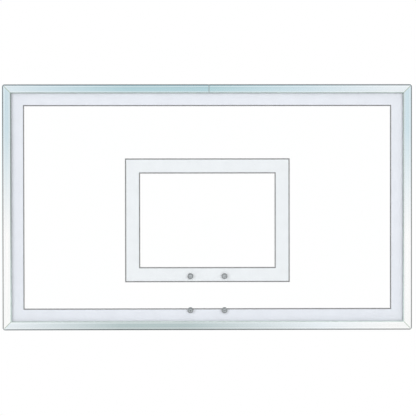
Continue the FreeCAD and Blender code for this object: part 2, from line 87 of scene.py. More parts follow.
class Run(Enum):
    """The way a rail runs, and how many of its drawn lines fit in a metre along each axis."""

    LEVEL = (1.2, 90.0, 90.0)
    UPRIGHT = (90.0, 90.0, 1.2)

    @property
    def along(self) -> str:
        """The coordinate that grows along the rail."""
        return "X" if self is Run.LEVEL else "Z"

    @property
    def across(self) -> str:
        """The coordinate that grows across the rail's face."""
        return "Z" if self is Run.LEVEL else "X"


def opaque(colour: Colour) -> tuple[float, float, float, float]:
    """Add full opacity to a colour."""
    return (*colour, 1.0)


def in_mm(*points: tuple[float, float]) -> Profile:
    """Turn an outline given in millimetres into metres."""
    return tuple((first * MM, second * MM) for first, second in points)


class NodeSheet:
    """A node tree with short ways to add nodes and join them."""

    STRIPE_CORE = 1 / 3

    def __init__(self, tree: NodeTree) -> None:
        """Keep the tree that the nodes go into."""
        self.tree = tree

    def feed(self, node: Node, inputs: Inputs) -> Node:
        """Set a node's inputs.

        Args:
            node: the node.
            inputs: a value, or a socket to join, for each input by name or number.

        Returns:
            The same node.
        """
        for name, value in inputs.items():
            if isinstance(value, Socket):
                self.tree.links.new(value, node.inputs[name])
            else:
                node.inputs[name].default_value = value
        return node

    def add(self, kind: str, inputs: Inputs | None = None, **settings: object) -> Node:
        """Add a node, set it up and join it to what feeds it.

        Args:
            kind: the node's type, without its ShaderNode prefix.
            inputs: a value or socket for each input that isn't left as it is.
            **settings: the node's own properties.

        Returns:
            The new node.
        """
        node = self.tree.nodes.new(f"ShaderNode{kind}")
        for name, value in settings.items():
            setattr(node, name, value)
        return self.feed(node, inputs or {})

    def effect(self, group: NodeTree, inputs: Inputs) -> Socket:
        """Place a shared effect.

        Args:
            group: the effect's node group.
            inputs: a value or socket for each of its inputs.

        Returns:
            The effect's output.
        """
        node = self.tree.nodes.new("ShaderNodeGroup")
        node.node_tree = group
        return self.feed(node, inputs).outputs[0]

    def show(self, surface: Socket) -> None:
        """Let the material show a shader."""
        self.feed(self.tree.nodes["Material Output"], {"Surface": surface})

    def place(self) -> Socket:
        """The point on the object, in its own coordinates."""
        return self.add("TexCoord").outputs["Object"]

    def clouds(self, per_metre: float) -> Socket:
        """A mottle all over the object, with so many clouds to a metre."""
        return self.effect(Effects.mottle(), {"Place": self.place(), "Scale": per_metre})

    def noise(self, place: Socket, scale: object, detail: float, roughness: float = 0.5) -> Socket:
        """A soft noise about a place."""
        inputs = {"Vector": place, "Scale": scale, "Detail": detail, "Roughness": roughness}
        return self.add("TexNoise", inputs).outputs[0]

    def sum(self, operation: str, *terms: object) -> Socket:
        """Work out one step of arithmetic on numbers and sockets."""
        return self.add("Math", dict(enumerate(terms)), operation=operation).outputs[0]

    def blend(self, factor: object, first: object, second: object) -> Socket:
        """Blend two colours.

        Args:
            factor: the share of the second colour.
            first: a colour or a colour's socket.
            second: a colour or a colour's socket.

        Returns:
            The blended colour's socket.
        """
        mix = self.add("Mix", {"Factor": factor}, data_type="RGBA")
        for letter, colour in (("A", first), ("B", second)):
            socket = next(s for s in mix.inputs if s.type == "RGBA" and s.name == letter)
            if isinstance(colour, Socket):
                self.tree.links.new(colour, socket)
            else:
                socket.default_value = opaque(colour)
        return next(s for s in mix.outputs if s.type == "RGBA")

    def scaled(self, colour: Socket, share: Socket) -> Socket:
        """A colour that is darkened or paled by a share."""
        inputs = {0: colour, "Scale": share}
        return self.add("VectorMath", inputs, operation="SCALE").outputs[0]

    def between(self, low: float, high: float, factor: Socket) -> Socket:
        """A number that goes from low to high as the factor goes from 0 to 1."""
        return self.add("MapRange", {"Value": factor, "To Min": low, "To Max": high}).outputs[0]

    def fade(self, value: Socket, clear: float, full: float) -> Socket:
        """A smooth mask that is 0 where the value is clear and 1 where it is full."""
        inputs = {"Value": value, "From Min": clear, "From Max": full}
        return self.add("MapRange", inputs, interpolation_type="SMOOTHSTEP").outputs[0]

    def stripe(self, value: Socket, middle: float, width: float) -> Socket:
        """A soft mask of one stripe, where the value is near its middle."""
        away = self.sum("ABSOLUTE", self.sum("SUBTRACT", value, middle))
        return self.fade(away, width / 2, width / 2 * self.STRIPE_CORE)

    def bump(self, height: Socket, depth: float, strength: float) -> Socket:
        """A normal that is roughened by a height, whose full range is a depth in metres."""
        inputs = {"Height": height, "Distance": depth, "Strength": strength}
        return self.add("Bump", inputs).outputs["Normal"]

    def seen_rays(self) -> Socket:
        """A switch that is on for what is seen, straight, in a reflection or through glass.

        Returns:
            The switch's socket.
        """
        path = self.add("LightPath").outputs
        seen = self.sum("MAXIMUM", path["Is Camera Ray"], path["Is Glossy Ray"])
        return self.sum("MAXIMUM", seen, path["Is Transmission Ray"])


class Effects:
    """Node groups that more than one finish uses, each built once."""

    LINE_DETAIL = 5.0
    LINE_ROUGHNESS = 0.62
    LINE_RANGE = (0.3, 0.7)
    CLOUD_DETAIL = 3.0
    SPECK_DETAIL = 2.0
    SPECKS_PER_CLOUD = 9.0
    SPECK_SHARE = 0.45
    CLOUD_RANGE = (0.5, 0.95)

    @staticmethod
    def shared(
        name: str, inputs: dict[str, str], draw: Callable[[NodeSheet, Node], Socket]
    ) -> NodeTree:
        """Find an effect's group, or build it.

        Args:
            name: the group's name, and its output's.
            inputs: the socket type of each input by name.
            draw: draws the group from its input node, and returns the socket that it puts out.

        Returns:
            The group.
        """
        found = bpy.data.node_groups.get(name)
        if found:
            return found
        tree = bpy.data.node_groups.new(name, "ShaderNodeTree")
        for label, kind in inputs.items():
            tree.interface.new_socket(name=label, in_out="INPUT", socket_type=kind)
        tree.interface.new_socket(name=name, in_out="OUTPUT", socket_type="NodeSocketFloat")
        result = draw(NodeSheet(tree), tree.nodes.new("NodeGroupInput"))
        tree.links.new(result, tree.nodes.new("NodeGroupOutput").inputs[0])
        return tree

    @classmethod
    def drawn_lines(cls) -> NodeTree:
        """Fine lines along a drawn or extruded piece, from a Place and a Density.

        Returns:
            The effect's group.
        """
        def draw(sheet: NodeSheet, source: Node) -> Socket:
            """Stretch a noise along the piece.

            Args:
                sheet: the group's sheet.
                source: the group's input node.

            Returns:
                The mask's socket.
            """
            inputs = dict(enumerate(source.outputs[:2]))
            spread = sheet.add("VectorMath", inputs, operation="MULTIPLY").outputs[0]
            grain = sheet.noise(spread, 1.0, cls.LINE_DETAIL, cls.LINE_ROUGHNESS)
            return sheet.fade(grain, *cls.LINE_RANGE)

        sockets = {"Place": "NodeSocketVector", "Density": "NodeSocketVector"}
        return cls.shared("drawn_lines", sockets, draw)

    @classmethod
    def mottle(cls) -> NodeTree:
        """Soft clouds with finer specks among them, from a Place and a Scale.

        Returns:
            The effect's group.
        """
        def draw(sheet: NodeSheet, source: Node) -> Socket:
            """Lay a fine noise over a coarse one.

            Args:
                sheet: the group's sheet.
                source: the group's input node.

            Returns:
                The mask's socket.
            """
            place, scale = source.outputs[:2]
            clouds = sheet.noise(place, scale, cls.CLOUD_DETAIL)
            finer = sheet.sum("MULTIPLY", scale, cls.SPECKS_PER_CLOUD)
            specks = sheet.noise(place, finer, cls.SPECK_DETAIL)
            both = sheet.sum("MULTIPLY_ADD", specks, cls.SPECK_SHARE, clouds)
            return sheet.fade(both, *cls.CLOUD_RANGE)

        sockets = {"Place": "NodeSocketVector", "Scale": "NodeSocketFloat"}
        return cls.shared("mottle", sockets, draw)


def new_material(name: str) -> tuple[Material, NodeSheet, Node]:
    """Start a material.

    Args:
        name: its name.

    Returns:
        The material, its sheet, and its Principled shader.
    """
    material = bpy.data.materials.new(name)
    material.use_nodes = True
    tree = material.node_tree
    return material, NodeSheet(tree), tree.nodes["Principled BSDF"]


@dataclass(frozen=True)
class SatinAluminium:
    """A clear anodised extrusion: soft metal with lines along it, a painted reflection whose tone
    changes along it, painted highlight bands and painted shade on its outer edge.

    Attributes:
        name: the material's name.
        run: the way the extrusion runs.
        span: the coordinates of its two ends along the run.
        tones: the colour of the painted reflection on the metal, at some shares of the way from
            the first end to the second.
        half_along: half the frame's size along the run.
        half_across: half the frame's size across the run.
        face: the width of the rail's face.
        line_shade: how much darker the drawn lines are, as a share.
        line_depth: how deep they are.
        line_strength: how far their depth shows, as a share.
        roughness: the roughness in the drawn lines and beside them.
        highlight: the colour of the painted highlight bands along the metal.
        highlight_width: the width of a painted highlight band.
        brow: how far the outer painted highlight band is from the rail's outer side, and how
            strong it is.
        lip: how far the inner painted highlight band is from the rail's inner side, and how strong
            it is.
        sawn: the colour of the metal along the mitre cuts.
        saw_width: the width of a mitre cut's mark.
        butt_width: the width of the mark at a butt joint, half of it on each side.
        butt: the darker colour of the metal at a butt joint.
        edge_shade_colour: the colour of the painted shade on the front's rounded outer edge.
        edge_share: how far those edges take that colour, as a share.
        edge_width: how far the painted edge shade reaches from the frame's outline.
        edge_core: the share of that reach which is fully shaded.
        edge_depth: how far behind the front the painted edge shade starts to end, and ends.
        corner: the radius of the frame's outline at its corners.
    """

    name: str
    run: Run
    span: Range
    tones: ReflectedTones
    half_along: float
    half_across: float
    face: float = 30.0 * MM
    line_shade: float = 0.045
    line_depth: float = 0.04 * MM
    line_strength: float = 0.5
    roughness: Range = (0.28, 0.19)
    # painted highlights: a pale band near each side of the rail's face
    rubbed: Colour = (0.98, 1.0, 0.99)
    highlight_width: float = 5.0 * MM
    brow: tuple[float, float] = (8.5 * MM, 0.3)
    lip: tuple[float, float] = (2.4 * MM, 0.38)
    sawn: Colour = (0.57, 0.67, 0.575)
    saw_width: float = 5.5 * MM
    butt_width: float = 3.2 * MM
    butt: Colour = (0.40, 0.42, 0.43)
    # painted shade: a grey along the front's rounded outer edge, in place of the dark it reflects
    edge_shade_colour: Colour = (0.40, 0.42, 0.43)
    edge_share: float = 0.58
    edge_width: float = 6.2 * MM
    edge_core: float = 0.6
    edge_depth: Range = (4.0 * MM, 7.0 * MM)
    corner: float = 9.0 * MM

    def material(self) -> Material:
        """Build the material.

        Returns:
            The material.
        """
        material, sheet, shader = new_material(self.name)
        place = sheet.place()
        density = {"Place": place, "Density": self.run.value}
        lines = sheet.effect(Effects.drawn_lines(), density)
        axes = sheet.add("SeparateXYZ", {0: place}).outputs
        along, across = axes[self.run.along], axes[self.run.across]
        ahead = sheet.sum("SUBTRACT", self.half_along, sheet.sum("ABSOLUTE", along))
        inset = sheet.sum("SUBTRACT", self.half_across, sheet.sum("ABSOLUTE", across))
        tone = self.highlights_and_joints(sheet, along, ahead, inset)
        # paint shade onto the rounded outer edge
        edge = self.edge_shade_mask(sheet, ahead, inset, axes["Y"])
        tone = sheet.blend(edge, tone, self.edge_shade_colour)
        tone = sheet.scaled(tone, sheet.between(1.0 - self.line_shade, 1.0, lines))
        sheet.feed(
            shader,
            {
                "Base Color": tone,
                "Roughness": sheet.between(*self.roughness, lines),
                "Normal": sheet.bump(lines, self.line_depth, self.line_strength),
                "Metallic": 1.0,
            },
        )
        return material

    def reflected_tone(self, sheet: NodeSheet, along: Socket) -> Socket:
        """Paint the reflection's tone, which changes along the rail.

        Args:
            sheet: the material's sheet.
            along: the coordinate along the rail.

        Returns:
            The tone's socket.
        """
        start, end = self.span
        inputs = {"Value": along, "From Min": start, "From Max": end}
        node = sheet.add("ValToRGB", {0: sheet.add("MapRange", inputs).outputs[0]})
        stops = node.color_ramp.elements
        for place, _ in self.tones[1:-1]:
            stops.new(place)
        for stop, (place, tone) in zip(stops, self.tones):
            stop.position = place
            stop.color = opaque(tone)
        return node.outputs[0]

    def highlights_and_joints(self, sheet: NodeSheet, along: Socket, ahead: Socket, inset: Socket) -> Socket:
        """Add the painted highlight bands, the mitre cuts and a butt joint's mark to the
        reflection's tone.

        Args:
            sheet: the material's sheet.
            along: the coordinate along the rail.
            ahead: the distance from the frame's side at the rail's end.
            inset: the distance from the frame's side along the rail.

        Returns:
            The tone's socket.
        """
        tone = self.reflected_tone(sheet, along)
        # paint a highlight band near the outer side and one near the lip
        for middle, share in (self.brow, (self.face - self.lip[0], self.lip[1])):
            band = sheet.stripe(inset, middle, self.highlight_width)
            tone = sheet.blend(sheet.sum("MULTIPLY", band, share), tone, self.rubbed)
        mitre = sheet.stripe(sheet.sum("SUBTRACT", ahead, inset), 0.0, self.saw_width)
        inner = sheet.fade(inset, self.edge_width, self.brow[0])
        tone = sheet.blend(sheet.sum("MULTIPLY", mitre, inner), tone, self.sawn)
        for end in self.span:
            if self.half_along - abs(end) > self.corner:
                butt = sheet.stripe(along, end, self.butt_width)
                share = sheet.sum("MULTIPLY", butt, self.edge_share)
                tone = sheet.blend(share, tone, self.butt)
        return tone

    def edge_shade_mask(self, sheet: NodeSheet, ahead: Socket, inset: Socket, depth: Socket) -> Socket:
        """Mask where shade is painted on the front's rounded outer edge, round the corners too.

        Args:
            sheet: the material's sheet.
            ahead: the distance from the frame's side at the rail's end.
            inset: the distance from the frame's side along the rail.
            depth: the coordinate from front to rear.

        Returns:
            The mask's socket.
        """
        short = [sheet.sum("SUBTRACT", self.corner, way) for way in (ahead, inset)]
        short = [sheet.sum("MAXIMUM", way, 0.0) for way in short]
        spread = sheet.add("CombineXYZ", dict(enumerate(short))).outputs[0]
        reach = sheet.add("VectorMath", {0: spread}, operation="LENGTH").outputs["Value"]
        clear, full = (self.corner - share * self.edge_width for share in (1.0, self.edge_core))
        outline = sheet.fade(reach, clear, full)
        near, far = (CAD_BOX[0].y + distance for distance in self.edge_depth)
        mask = sheet.sum("MULTIPLY", outline, sheet.fade(depth, far, near))
        return sheet.sum("MULTIPLY", mask, self.edge_share)


@dataclass(frozen=True)
class ClearGlass:
    """Clear sheet glass with a faint cool cast and a trace of handling.

    Attributes:
        name: the material's name.
        cast: the glass's colour.
        passing: the share of light that each face lets through to what is behind.
        index: the glass's index of refraction.
        marks_per_metre: how many marks of handling fit in a metre.
        roughness: the roughness between those marks and in them.
    """

    name: str = "sheet_glass"
    cast: Colour = (0.997, 1.0, 0.999)
    passing: Colour = (0.955, 0.96, 0.958)
    index: float = 1.5
    marks_per_metre: float = 7.0
    roughness: Range = (0.0, 0.012)

    def material(self) -> Material:
        """Build the material, which light reaches the print through without being bent.

        Returns:
            The material.
        """
        material, sheet, shader = new_material(self.name)
        sheet.feed(
            shader,
            {
                "Base Color": opaque(self.cast),
                "Roughness": sheet.between(*self.roughness, sheet.clouds(self.marks_per_metre)),
                "IOR": self.index,
                "Transmission Weight": 1.0,
            },
        )
        path = sheet.add("LightPath").outputs
        clear = sheet.add("BsdfTransparent", {"Color": opaque(self.passing)}).outputs[0]
        surface = shader.outputs[0]
        for ray in ("Is Diffuse Ray", "Is Shadow Ray"):
            inputs = {0: path[ray], 1: surface, 2: clear}
            surface = sheet.add("MixShader", inputs).outputs[0]
        sheet.show(surface)
        return material


@dataclass(frozen=True)
class Relief:
    """A fine relief all over a finish."""

    per_metre: float
    depth: float
    strength: float

    def normal(self, sheet: NodeSheet) -> Socket:
        """The normal that the relief gives."""
        return sheet.bump(sheet.clouds(self.per_metre), self.depth, self.strength)


@dataclass(frozen=True)
class Clouded:
    """A finish that drifts in soft clouds between two colours.

    Attributes:
        name: the material's name.
        first: its colour between the clouds.
        second: its colour in the clouds.
        roughness: its roughness between the clouds and in them.
        per_metre: how many clouds fit in a metre.
        relief: its fine relief, if any.
        metallic: 1 for bare metal, or else 0.
    """

    name: str
    first: Colour
    second: Colour
    roughness: Range
    per_metre: float
    relief: Relief | None = None
    metallic: float = 0.0

    def material(self) -> Material:
        """Build the material.

        Returns:
            The material.
        """
        material, sheet, shader = new_material(self.name)
        clouds = sheet.clouds(self.per_metre)
        inputs = {
            "Base Color": self.tone(sheet, clouds),
            "Roughness": sheet.between(*self.roughness, clouds),
            "Metallic": self.metallic,
        }
        if self.relief:
            inputs["Normal"] = self.relief.normal(sheet)
        sheet.feed(shader, inputs)
        return material

    def tone(self, sheet: NodeSheet, clouds: Socket) -> Socket:
        """The colour between the clouds and in them."""
        return sheet.blend(clouds, self.first, self.second)


@dataclass(frozen=True)
class FiredEnamel(Clouded):
    """Printed enamel: an even colour with the faint cloudiness of a screened coat."""

    roughness: Range = (0.42, 0.55)
    per_metre: float = 18.0

    @classmethod
    def of(cls, name: str, colour: Colour, cloud: float = 0.03) -> "FiredEnamel":
        """Screen a colour, darker by the cloud's share where the coat is thin."""
        return cls(name, tuple(channel * (1.0 - cloud) for channel in colour), colour)


@dataclass(frozen=True)
class MouldedRubber(Clouded):
    """Grey rubber with a dusty bloom and a fine moulded grain.

    Attributes:
        paling: how much paler painted light makes it towards the bottom, as a factor.
        paling_heights: the height where the painted light starts to pale it, and where it is
            palest.
    """

    roughness: Range = (0.55, 0.75)
    per_metre: float = 60.0
    relief: Relief | None = Relief(700.0, 0.1 * MM, 0.4)
    paling: float = 1.0
    paling_heights: Range = (-50.0 * MM, -430.0 * MM)

    def tone(self, sheet: NodeSheet, clouds: Socket) -> Socket:
        """Pale the clouded colour towards the bottom with painted light.

        Args:
            sheet: the material's sheet.
            clouds: the mask of the bloom's clouds.

        Returns:
            The tone's socket.
        """
        tone = super().tone(sheet, clouds)
        if self.paling == 1.0:
            return tone
        height = sheet.add("SeparateXYZ", {0: sheet.place()}).outputs["Z"]
        # painted light: paler towards the bottom
        painted_light_share = sheet.fade(height, *self.paling_heights)
        return sheet.scaled(tone, sheet.between(1.0, self.paling, painted_light_share))


@dataclass(frozen=True)
class PlatedSteel(Clouded):
    """Plated or mill finished metal with a cloudy skin and a fine tooth."""

    roughness: Range = (0.28, 0.45)
    per_metre: float = 120.0
    relief: Relief | None = Relief(900.0, 0.05 * MM, 0.3)
    metallic: float = 1.0


@dataclass(frozen=True)
class TurnedSteel:
    """Lathe turned steel: rings about its axis, from the radius that is kept with the mesh."""

    name: str
    bright: Colour
    dull: Colour
    rings_per_metre: float = 5200.0
    ring_detail: float = 2.0
    ring_depth: float = 0.03 * MM
    ring_strength: float = 0.5
    clouds_per_metre: float = 260.0
    wear: tuple[float, float] = (0.5, 0.6)
    roughness: Range = (0.08, 0.24)

    def material(self) -> Material:
        """Build the material.

        Returns:
            The material.
        """
        material, sheet, shader = new_material(self.name)
        radius = sheet.add("Attribute", attribute_name=Bench.RADIUS).outputs["Fac"]
        turns = sheet.sum("MULTIPLY", radius, self.rings_per_metre)
        inputs = {"W": turns, "Scale": 1.0, "Detail": self.ring_detail}
        rings = sheet.add("TexNoise", inputs, noise_dimensions="1D").outputs[0]
        clouds = sheet.sum("MULTIPLY", sheet.clouds(self.clouds_per_metre), self.wear[1])
        worn = sheet.sum("MULTIPLY_ADD", rings, self.wear[0], clouds)
        sheet.feed(
            shader,
            {
                "Base Color": sheet.blend(worn, self.bright, self.dull),
                "Roughness": sheet.between(*self.roughness, worn),
                "Normal": sheet.bump(rings, self.ring_depth, self.ring_strength),
                "Metallic": 1.0,
            },
        )
        return material


@dataclass(frozen=True)
class GalvanisedSteel:
    """Hot dipped zinc: flat crystals of slightly different greys."""

    name: str = "galvanised_steel"
    light: Colour = (0.70, 0.72, 0.73)
    dark: Colour = (0.50, 0.52, 0.54)
    crystals_per_metre: float = 160.0
    roughness: Range = (0.32, 0.5)
    skin: Relief = Relief(400.0, 0.08 * MM, 0.3)

    def material(self) -> Material:
        """Build the material.

        Returns:
            The material.
        """
        material, sheet, shader = new_material(self.name)
        inputs = {"Vector": sheet.place(), "Scale": self.crystals_per_metre}
        crystals = sheet.add("TexVoronoi", inputs).outputs["Color"]
        tint = sheet.add("SeparateColor", {0: crystals}).outputs[0]
        sheet.feed(
            shader,
            {
                "Base Color": sheet.blend(tint, self.dark, self.light),
                "Roughness": sheet.between(*self.roughness, tint),
                "Normal": self.skin.normal(sheet),
                "Metallic": 1.0,
            },
        )
        return material


class Bench:
    """Hand modelling with Blender's operators, on one piece at a time about the Y axis."""

    RADIUS = "turn_radius"
    WELD = 1e-6
    FACING = 0.9

    @staticmethod
    def choose(*pieces: Piece) -> None:
        """Select only these pieces, and make the first one active.

        Args:
            *pieces: the pieces, at least one.
        """
        bpy.ops.object.select_all(action="DESELECT")
        for piece in pieces:
            piece.select_set(True)
        bpy.context.view_layer.objects.active = pieces[0]

    @classmethod
    def discard(cls, *pieces: Piece) -> None:
        """Delete pieces that have served their purpose."""
        cls.choose(*pieces)
        bpy.ops.object.delete()

    @classmethod
    def turn(cls, name: str, profile: Profile, steps: int = 64) -> Piece:
        """Turn a profile about the Y axis into a closed piece.

        Args:
            name: the piece's name.
            profile: (radius, y) points, a ring that ends where it starts, or from axis to axis.
            steps: how many faces go round.

        Returns:
            The piece, at the origin.
        """
        bpy.ops.object.select_all(action="DESELECT")
        bpy.ops.mesh.primitive_plane_add(size=1.0, enter_editmode=True, location=(0.0, 0.0, 0.0))
        piece = bpy.context.object
        piece.name = piece.data.name = name
        bpy.ops.mesh.select_mode(type="VERT")
        bpy.ops.mesh.select_all(action="SELECT")
        bpy.ops.mesh.merge(type="CENTER")
        bpy.ops.transform.translate(value=(*profile[0], 0.0))
        for (radius, y), (next_radius, next_y) in zip(profile, profile[1:]):
            step = (next_radius - radius, next_y - y, 0.0)
            bpy.ops.mesh.extrude_vertices_move(TRANSFORM_OT_translate={"value": step})
        bpy.ops.mesh.select_all(action="SELECT")
        axis = (0.0, 1.0, 0.0)
        bpy.ops.mesh.spin(steps=steps, angle=2 * math.pi, center=(0.0, 0.0, 0.0), axis=axis)
        bpy.ops.mesh.select_all(action="SELECT")
        bpy.ops.mesh.remove_doubles(threshold=cls.WELD)
        bpy.ops.mesh.normals_make_consistent(inside=False)
        bpy.ops.object.mode_set(mode="OBJECT")
        return piece

    @classmethod
    def tapered_block(cls, size: Point, middle_y: float, taper: float) -> Piece:
        """A block that narrows towards the front, for cutting a recess.

        Args:
            size: its size at the rear.
            middle_y: where its middle lies.
            taper: how wide its front is, as a share of its rear.

        Returns:
            The block.
        """
        bpy.ops.object.select_all(action="DESELECT")
        bpy.ops.mesh.primitive_cube_add(size=1.0, location=(0.0, middle_y, 0.0))
        block = bpy.context.object
        block.scale = size
        bpy.ops.object.transform_apply(location=True, rotation=True, scale=True)
        bpy.ops.object.mode_set(mode="EDIT")
        bpy.ops.mesh.select_mode(type="FACE")
        bpy.ops.mesh.select_all(action="DESELECT")
        mesh = bmesh.from_edit_mesh(block.data)
        for face in mesh.faces:
            face.select_set(face.normal.y < -cls.FACING)
        bmesh.update_edit_mesh(block.data)
        bpy.ops.transform.resize(value=(taper, 1.0, taper))
        bpy.ops.object.mode_set(mode="OBJECT")
        return block

    @classmethod
    def cut(cls, piece: Piece, tool: Piece) -> None:
        """Cut a tool's shape out of a piece, and clear the tool away.

        Args:
            piece: the piece that is cut.
            tool: the shape to cut out.
        """
        cls.choose(piece)
        bpy.ops.object.modifier_add(type="BOOLEAN")
        boolean = piece.modifiers[-1]
        boolean.object = tool
        boolean.operation = "DIFFERENCE"
        bpy.ops.object.modifier_apply(modifier=boolean.name)
        cls.discard(tool)

    @classmethod
    def smooth(cls, piece: Piece, degrees: float = 35.0) -> None:
        """Smooth a piece, and keep each point's turning radius with its mesh.

        Args:
            piece: the piece.
            degrees: the angle from which an edge stays sharp.
        """
        cls.choose(piece)
        bpy.ops.object.shade_smooth_by_angle(angle=math.radians(degrees))
        radii = [math.hypot(vertex.co.x, vertex.co.z) for vertex in piece.data.vertices]
        layer = piece.data.attributes.new(cls.RADIUS, "FLOAT", "POINT")
        layer.data.foreach_set("value", radii)

    @classmethod
    def copy(
        cls, piece: Piece, name: str, place: Point, roll: float = 0.0, about: bool = False
    ) -> Piece:
        """Copy a piece, with a mesh of its own, to its place on the board.

        Args:
            piece: the piece to copy.
            name: the copy's name.
            place: where the copy goes.
            roll: its turn about its own axis, in radians.
            about: whether it is turned to face the other way.

        Returns:
            The copy, at the origin with its place in its mesh.
        """
        cls.choose(piece)
        bpy.ops.object.duplicate(linked=False)
        copy = bpy.context.object
        copy.name = copy.data.name = name
        copy.rotation_euler = (0.0, roll, math.pi if about else 0.0)
        copy.location = place
        bpy.ops.object.transform_apply(location=True, rotation=True, scale=True)
        return copy

    @classmethod
    def join(cls, pieces: list[Piece], name: str) -> Piece:
        """Join pieces into one object.

        Args:
            pieces: the pieces, at least one.
            name: the new object's name.

        Returns:
            The joined object.
        """
        cls.choose(*pieces)
        bpy.ops.object.join()
        joined = bpy.context.object
        joined.name = joined.data.name = name
        return joined


def dress(node: str, material: Material) -> None:
    """Give a rigid piece of the model its finish.

    Args:
        node: the piece's name.
        material: its finish.
    """
    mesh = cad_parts[node].data
    mesh.materials.clear()
    mesh.materials.append(material)
    LOG.info("%s: finished in %s", node, material.name)


def stand_for(piece: Piece, node: str, material: Material) -> None:
    """Put a modelled piece in place of a rigid one.

    Args:
        piece: the modelled piece.
        node: the rigid piece that it stands for.
        material: its finish.
    """
    piece.data.materials.clear()
    piece.data.materials.append(material)
    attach(piece, "root")
    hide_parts(node)
    LOG.info("%s: modelled, finished in %s", piece.name, material.name)


def nodes_named(*endings: str) -> list[str]:
    """The rigid pieces whose names end in one of the given ways, in order."""
    return [node for node in sorted(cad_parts) if node.endswith(endings)]


@dataclass
class GlazedPanel:
    """The glass sheet and the enamel printed on its rear."""

    glass: ClearGlass = ClearGlass()
    border: FiredEnamel = FiredEnamel.of("border_enamel", (0.805, 0.83, 0.90))
    target: FiredEnamel = FiredEnamel.of("target_enamel", (0.84, 0.867, 0.897))
    keyline: FiredEnamel = FiredEnamel.of("keyline_enamel", (0.17, 0.172, 0.178), cloud=0.08)

    def build(self) -> None:
        """Dress the glass and its markings."""
        dress("glass_panel", self.glass.material())
        dress("border_marking", self.border.material())
        dress("target_marking", self.target.material())
        keyline = self.keyline.material()
        for node in nodes_named("_keyline"):
            dress(node, keyline)


@dataclass
class CrossScrew:
    """A cross-head screw, with its seat at the origin and its head to the rear.

    The dome and the tip are outlines, in shares of the head and of the shank's radius.
    """

    head_radius: float = 4.75 * MM
    head_height: float = 3.0 * MM
    dome: Profile = (
        (1.0, 0.42), (0.97, 0.62), (0.88, 0.81), (0.74, 0.93), (0.50, 0.99), (0.0, 1.0)
    )
    rim: float = 0.2 * MM
    shank_radius: float = 2.4 * MM
    shank_length: float = 13.0 * MM
    tip: Profile = ((0.0, 0.0), (0.55, 0.6 * MM), (1.0, 2.0 * MM))
    fillet: float = 0.3 * MM
    recess: Point = (5.0 * MM, 3.6 * MM, 1.1 * MM)
    recess_taper: float = 0.72
    sides: int = 40

    def build(self) -> Piece:
        """Model the screw.

        Returns:
            The screw.
        """
        radius, height, shank = self.head_radius, self.head_height, self.shank_radius
        profile = (
            *((share * shank, rise - self.shank_length) for share, rise in self.tip),
            (shank, -self.fillet),
            (shank + self.fillet, 0.0),
            (radius - self.rim, 0.0),
            (radius, self.rim),
            *((share * radius, rise * height) for share, rise in self.dome),
        )
        screw = Bench.turn("pan_screw", profile, self.sides)
        for size in (self.recess, self.recess[::-1]):
            Bench.cut(screw, Bench.tapered_block(size, height, self.recess_taper))
        Bench.smooth(screw)
        return screw


